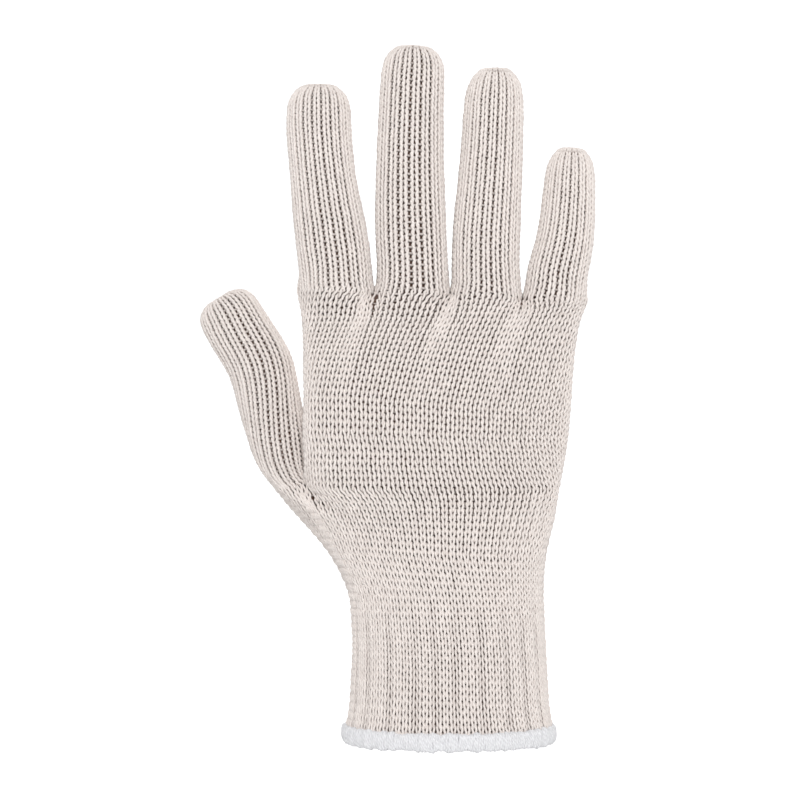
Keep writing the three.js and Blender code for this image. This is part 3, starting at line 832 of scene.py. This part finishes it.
def hem_tree(sizes):
    """Winds the overlocking thread round the cuff's edge: up the outer face and down the inner."""
    tree, make, given = new_tree("overlocked_hem", sizes)
    turn = make.attribute("turn", "FLOAT")
    cosine = make.math("COSINE", turn)
    jitter = make.math("SUBTRACT", make.noise(make.position(), HEM_NOISE)[0], 0.5)
    half_height = make.math("MULTIPLY", given["Band Height"], 0.5)
    half_thickness = make.math("MULTIPLY", given["Band Thickness"], 0.5)
    tall = make.math("MULTIPLY_ADD", jitter, given["Height Unevenness"], half_height)
    thick = make.math("MULTIPLY_ADD", jitter, given["Thickness Unevenness"], half_thickness)
    flattened = make.math("POWER", make.math("ABSOLUTE", cosine), HEM_FACE_POWER)
    across = make.math("MULTIPLY", make.math("SIGN", cosine), flattened)
    rise = make.math("MULTIPLY", make.math("SINE", turn), tall)
    offset = make.scaled(make.attribute("upward"), rise)
    offset = make.shifted(offset, make.attribute("outward"), make.math("MULTIPLY", across, thick))
    noise = make.noise(make.vector("ADD", make.position(), offset), THREAD_NOISE)["Color"]
    centred = make.vector("SUBTRACT", noise, (0.5, 0.5, 0.5))
    turns = make.moved(given["Geometry"], make.shifted(offset, centred, given["Thread Wander"]))
    make.finished(yarn_along(make, turns, given, 1.0, HEM_SIDES), given["Yarn"])
    return tree


def joining_tree(sizes):
    """Joins the points of the dark painted shade sheet that fall together where a fingertip closes."""
    tree, make, given = new_tree("joined_painted_shade_sheet", sizes)
    values = {"Geometry": given["Geometry"], "Distance": given["Joining Distance"]}
    make.finished(make.node("GeometryNodeMergeByDistance", values).outputs[0], given["Yarn"])
    return tree


def grown_by(tree, mesh, title, settings):
    """Runs a tree on a mesh with these inputs and returns the result as a plain object, without the
    attributes that only the tree needs."""
    holder = bpy.data.objects.new(title + "_start", mesh)
    bpy.context.scene.collection.objects.link(holder)
    modifier = holder.modifiers.new("grow", "NODES")
    modifier.node_group = tree
    for item in tree.interface.items_tree:
        if item.item_type == "SOCKET" and item.in_out == "INPUT" and item.name in settings:
            modifier[item.identifier] = settings[item.name]
    graph = bpy.context.evaluated_depsgraph_get()
    made = bpy.data.meshes.new_from_object(holder.evaluated_get(graph), depsgraph=graph)
    bpy.data.objects.remove(holder)
    bpy.data.meshes.remove(mesh)
    for label in TREE_ONLY:
        if label in made.attributes:
            made.attributes.remove(made.attributes[label])
    made.name = title
    piece = bpy.data.objects.new(title, made)
    bpy.context.scene.collection.objects.link(piece)
    return piece


# Materials
PLIES = 3.0              # plies of a yarn
FIBRE_SCALE = 5200.0     # noise scale of the fibres
PLY_TONE = 0.2           # how much of the tone comes from the plies, the fibres and the mottle
FIBRE_TONE = 0.4
MOTTLE_TONE = 0.5
DARK_TONE = 0.25         # tones that have the shade's colour and the yarn's full colour
LIGHT_TONE = 0.75
PAINTED_SHADE_FULL_HEIGHT = -1.2       # millimetres out from its line's first place where yarn has the full painted shade colour
PAINTED_SHADE_END_HEIGHT = 0.7       # and where the painted shade ends and it has its own colour
FIBRE_BUMP = 0.6         # height of the fibres beside that of the plies
BUMP_STRENGTH = 0.4
BUMP_DISTANCE = 0.12     # in millimetres
YARN_ROUGHNESS = 0.92
YARN_SPECULAR = 0.2
SHEEN_ROUGHNESS = 0.5


def yarn_tone(make, mottle_scale, ply_turns):
    """Tone of twisted yarn from 0 to about 1, and the height of its plies and fibres."""
    way = make.node("ShaderNodeAttribute", attribute_name="yarn_way").outputs["Vector"]
    x, y, length = make.node("ShaderNodeSeparateXYZ", {0: way}).outputs
    angle = make.math("MULTIPLY", make.math("ARCTAN2", y, x), PLIES)
    phase = make.math("MULTIPLY_ADD", length, ply_turns, angle)
    ply = make.math("MULTIPLY_ADD", make.math("SINE", phase), 0.5, 0.5)
    place = make.node("ShaderNodeTexCoord").outputs["Object"]
    fibre = make.noise(place, FIBRE_SCALE)[0]
    mottle = make.noise(place, mottle_scale, detail=3.0)[0]
    tone = make.math("ADD", make.math("MULTIPLY", ply, PLY_TONE), make.math("MULTIPLY", fibre, FIBRE_TONE))
    tone = make.math("ADD", tone, make.math("MULTIPLY", mottle, MOTTLE_TONE))
    return tone, make.math("MULTIPLY_ADD", fibre, FIBRE_BUMP, ply)


def yarn_material(title, colour, shade, painted_shade_colour, ply_turns, mottle_scale, sheen):
    """Twisted yarn with plies, fine fibres and a little mottle. It goes from the shade to the colour with
    its random tone, and is darkened to the painted shade colour where it lies deep in the knit: painted
    shade in the knit's hollows and on the yarn's inner side. The plies turn by so many radians to a metre
    of yarn."""
    material = bpy.data.materials.new(title)
    material.use_nodes = True
    material.node_tree.nodes.clear()
    make = TreeMaker(material.node_tree)
    tone, height = yarn_tone(make, mottle_scale, ply_turns)
    ramp = make.node("ShaderNodeValToRGB", {0: tone})
    for element, position, tint in zip(ramp.color_ramp.elements, (DARK_TONE, LIGHT_TONE), (shade, colour)):
        element.position = position
        element.color = (*tint, 1.0)
    # Painted shade: the deeper the yarn lies in the knit, the nearer its colour comes to the dark painted
    # shade colour
    proud = make.node("ShaderNodeAttribute", attribute_name="proud").outputs["Fac"]
    values = {"Value": proud, "From Min": PAINTED_SHADE_FULL_HEIGHT, "From Max": PAINTED_SHADE_END_HEIGHT}
    out_of_painted_shade = make.node("ShaderNodeMapRange", values, interpolation_type="SMOOTHSTEP")
    mixed = make.node("ShaderNodeMix", data_type="RGBA")
    inputs = {socket.identifier: socket for socket in mixed.inputs}
    make.feed(inputs["Factor_Float"], out_of_painted_shade.outputs["Result"])
    make.feed(inputs["A_Color"], (*painted_shade_colour, 1.0))
    make.feed(inputs["B_Color"], ramp.outputs[0])
    outputs = {socket.identifier: socket for socket in mixed.outputs}
    values = {"Strength": BUMP_STRENGTH, "Distance": BUMP_DISTANCE * MM, "Height": height}
    shader = make.node("ShaderNodeBsdfPrincipled", {
        "Base Color": outputs["Result_Color"], "Normal": make.node("ShaderNodeBump", values).outputs[0],
        "Roughness": YARN_ROUGHNESS, "Specular IOR Level": YARN_SPECULAR,
        "Sheen Weight": sheen, "Sheen Roughness": SHEEN_ROUGHNESS,
    })
    make.node("ShaderNodeOutputMaterial", {0: shader.outputs[0]})
    return material


# The third colour of each yarn is painted shade, for where the yarn lies deep in the knit
natural_yarn = yarn_material(
    "natural_cotton_yarn", colour=(0.965, 0.90, 0.86), shade=(0.70, 0.63, 0.593),
    painted_shade_colour=(0.12, 0.072, 0.055), ply_turns=5200.0, mottle_scale=420.0, sheen=0.15,
)
white_yarn = yarn_material(
    "white_overlock_thread", colour=(0.90, 0.90, 0.92), shade=(0.64, 0.64, 0.66),
    painted_shade_colour=(0.60, 0.60, 0.62), ply_turns=4200.0, mottle_scale=900.0, sheen=0.2,
)

# The knitted pieces. A loop swings and spreads by shares of the step to the next wale, and rises by
# a share of the step to the next course. Yarn has its radius where a wale is as wide as Full Wale.
FINGER_LOOPS = {
    "Loop Swing": 0.2, "Leg Spread": -0.04, "Loop Height": 0.95, "Loop Depth": 0.5 * MM,
    "Groove Depth": 0.0, "Unevenness": 0.55 * MM,
    "Yarn Radius": 0.52 * MM, "Full Wale": 3.0 * MM, "Yarn Unevenness": 0.22,
}
PALM_LOOPS = {
    **FINGER_LOOPS, "Loop Swing": 0.24, "Leg Spread": -0.005, "Loop Depth": 0.7 * MM,
    "Groove Depth": 0.75 * MM, "Yarn Radius": 0.465 * MM,
}
RIB_LOOPS = {
    **PALM_LOOPS, "Loop Swing": 0.22, "Leg Spread": -0.02, "Loop Depth": 0.6 * MM,
    "Yarn Radius": 0.448 * MM,
}
LOWER_PALM_LOOPS = {**PALM_LOOPS, "Leg Spread": -0.02, "Yarn Radius": 0.44 * MM}
LOOPS = {"four_finger_palm": PALM_LOOPS, "five_finger_palm": LOWER_PALM_LOOPS, "rib_cuff": RIB_LOOPS}
NODE_OF = {name: f"{name}_finger" for name in FINGERS}
BATCHES = {"four_finger_palm": 2}  # the section with the most stitches is made in two pieces
knitting = knitting_tree(FINGER_LOOPS)
joining = joining_tree({"Joining Distance": 0.02 * MM})

for name in WALES:
    points, outward = course_rings(name)
    loops = LOOPS.get(name, FINGER_LOOPS)
    groove = groove_at(name, points)
    node = NODE_OF.get(name, name)
    batches = BATCHES.get(name, 1)
    courses = len(points)
    for batch in range(batches):
        first = courses * batch // batches
        last = courses * (batch + 1) // batches
        title = f"{node}_knit" if batches == 1 else f"{node}_knit_{batch + 1}"
        lines = course_mesh(title, points[first:last], outward[first:last], groove[first:last])
        piece = grown_by(knitting, lines, title, {**loops, "Yarn": natural_yarn})
        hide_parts(node)
        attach(piece, "root")
    # A dark sheet of painted shade behind each section darkens the gaps of the knit
    piece = grown_by(joining, painted_shade_sheet_mesh(name), f"{node}_painted_shade_sheet", {"Yarn": natural_yarn})
    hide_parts(node)
    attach(piece, "root")

# The overlocked hem: the thread goes round the edge of the cuff's wall once in each turn
HEM_TURNS = 230
HEM_STEPS = 18          # points of one turn
HEM_MIDDLE = 3.0        # height of the middle of the band
HEM_INSET = 0.9         # from the cuff's outer face to the middle of the band
HEM_READINGS = 2001     # places at which the length of the cuff's edge is read
HEM_BAND = {
    "Band Height": 5.3 * MM, "Band Thickness": 3.0 * MM, "Height Unevenness": 2.2 * MM,
    "Thickness Unevenness": 1.6 * MM, "Thread Wander": 1.3 * MM, "Yarn Radius": 0.6 * MM,
    "Yarn Unevenness": 0.4,
}


def cuff_edge(angles):
    """Points on the line round which the thread is wound, in millimetres."""
    edge_band = next(band for band in CUFF_BANDS if band[2] == CUFF_EDGE)
    half_width, half_depth = edge_band[3:5]
    power = edge_band[7]
    cosine = np.cos(angles)
    sine = np.sin(angles)
    x = np.sign(cosine) * np.abs(cosine) ** (2 / power) * (half_width - HEM_INSET)
    y = np.sign(sine) * np.abs(sine) ** (2 / power) * (half_depth - HEM_INSET)
    return np.stack([x, y], axis=1)


def hem_line():
    """One closed line round the edge. Each point knows its place in the thread's turn."""
    steps = HEM_TURNS * HEM_STEPS
    index = np.arange(steps)
    sweep = np.linspace(0, 2 * math.pi, HEM_READINGS)
    lengths = lengths_along(np.linalg.norm(np.diff(cuff_edge(sweep), axis=0), axis=1))
    flat = cuff_edge(np.interp(index / steps * lengths[-1], lengths, sweep))
    tangent = np.roll(flat, -HEM_STEPS, axis=0) - np.roll(flat, HEM_STEPS, axis=0)
    outward = np.stack([tangent[:, 1], -tangent[:, 0], np.zeros(steps)], axis=1)
    outward /= np.linalg.norm(outward, axis=1)[:, None]
    points = np.column_stack([flat, np.full(steps, HEM_MIDDLE)])
    edges = np.stack([index, np.roll(index, -1)], axis=1)
    mesh = bpy.data.meshes.new("hem_line")
    mesh.from_pydata((points * MM).tolist(), edges.tolist(), [])
    give_points(mesh, "outward", outward)
    give_points(mesh, "upward", np.tile([0.0, 0.0, 1.0], (steps, 1)))
    give_points(mesh, "turn", index / HEM_STEPS * 2 * math.pi)
    return mesh


hem = grown_by(hem_tree(HEM_BAND), hem_line(), "overlocked_hem", {**HEM_BAND, "Yarn": white_yarn})
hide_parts("hem_edging")
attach(hem, "root")

# Floor, light and picture: the floor bends up into a pale wall behind the glove. Metres.
FLOOR_DROP = 0.22
SWEEP_HALF_WIDTH = 9.0
SWEEP_FRONT = -6.0
SWEEP_BACK = 2.2
SWEEP_RADIUS = 1.2
SWEEP_STEPS = 16
SWEEP_TOP = 5.0
FLOOR_TONE = 0.93
FLOOR_ROUGHNESS = 0.9
GLOW_START = 0.3     # how far behind the glove the floor starts to glow
GLOW_FULL = 1.1      # and where it glows in full
GLOW_STRENGTH = 0.62
WORLD_STRENGTH = 0.5
LIGHT_PLACE = (0.05, -1.5, 0.95)
LIGHT_AIM = (0.0, 0.0, 0.12)
LIGHT_SIZE = 0.4
LIGHT_POWER = 15.0


def floor_mesh():
    bend = np.linspace(0, math.pi / 2, SWEEP_STEPS + 1)
    profile = [(SWEEP_FRONT, -FLOOR_DROP)]
    profile += [
        (SWEEP_BACK + SWEEP_RADIUS * math.sin(a), -FLOOR_DROP + SWEEP_RADIUS * (1 - math.cos(a)))
        for a in bend
    ]
    profile.append((SWEEP_BACK + SWEEP_RADIUS, SWEEP_TOP))
    points = [(x, y, z) for y, z in profile for x in (-SWEEP_HALF_WIDTH, SWEEP_HALF_WIDTH)]
    faces = [(2 * i, 2 * i + 1, 2 * i + 3, 2 * i + 2) for i in range(len(profile) - 1)]
    mesh = bpy.data.meshes.new("floor")
    mesh.from_pydata(points, [], faces)
    mesh.shade_smooth()
    return mesh


def floor_material():
    """Pale and dull, with a glow that grows behind the glove until the picture is white there."""
    material = bpy.data.materials.new("pale_floor")
    material.use_nodes = True
    shader = material.node_tree.nodes["Principled BSDF"]
    shader.inputs["Base Color"].default_value = (FLOOR_TONE, FLOOR_TONE, FLOOR_TONE, 1.0)
    shader.inputs["Roughness"].default_value = FLOOR_ROUGHNESS
    shader.inputs["Emission Color"].default_value = (1.0, 1.0, 1.0, 1.0)
    make = TreeMaker(material.node_tree)
    place = make.node("ShaderNodeTexCoord").outputs["Object"]
    back = make.node("ShaderNodeSeparateXYZ", {0: place}).outputs[1]
    values = {"Value": back, "From Min": GLOW_START, "From Max": GLOW_FULL, "To Max": GLOW_STRENGTH}
    glow = make.node("ShaderNodeMapRange", values, interpolation_type="SMOOTHSTEP")
    make.feed(shader.inputs["Emission Strength"], glow.outputs["Result"])
    return material


def soft_light():
    """One round soft light, behind the camera and above it, turned towards the glove."""
    light = bpy.data.lights.new("key_light", "AREA")
    light.shape = "DISK"
    light.size = LIGHT_SIZE
    light.energy = LIGHT_POWER
    lamp = bpy.data.objects.new("key_light", light)
    lamp.location = LIGHT_PLACE
    x, y, z = np.array(LIGHT_AIM) - np.array(LIGHT_PLACE)
    lamp.rotation_euler = (math.atan2(math.hypot(x, y), -z), 0.0, math.atan2(y, x) - math.pi / 2)
    bpy.context.scene.collection.objects.link(lamp)


floor = bpy.data.objects.new("floor", floor_mesh())
floor.data.materials.append(floor_material())
bpy.context.scene.collection.objects.link(floor)

world = bpy.data.worlds.new("studio")
world.use_nodes = True
background = world.node_tree.nodes["Background"]
background.inputs["Color"].default_value = (1.0, 1.0, 1.0, 1.0)
background.inputs["Strength"].default_value = WORLD_STRENGTH
bpy.context.scene.world = world
bpy.context.scene.view_settings.view_transform = "Standard"
soft_light()
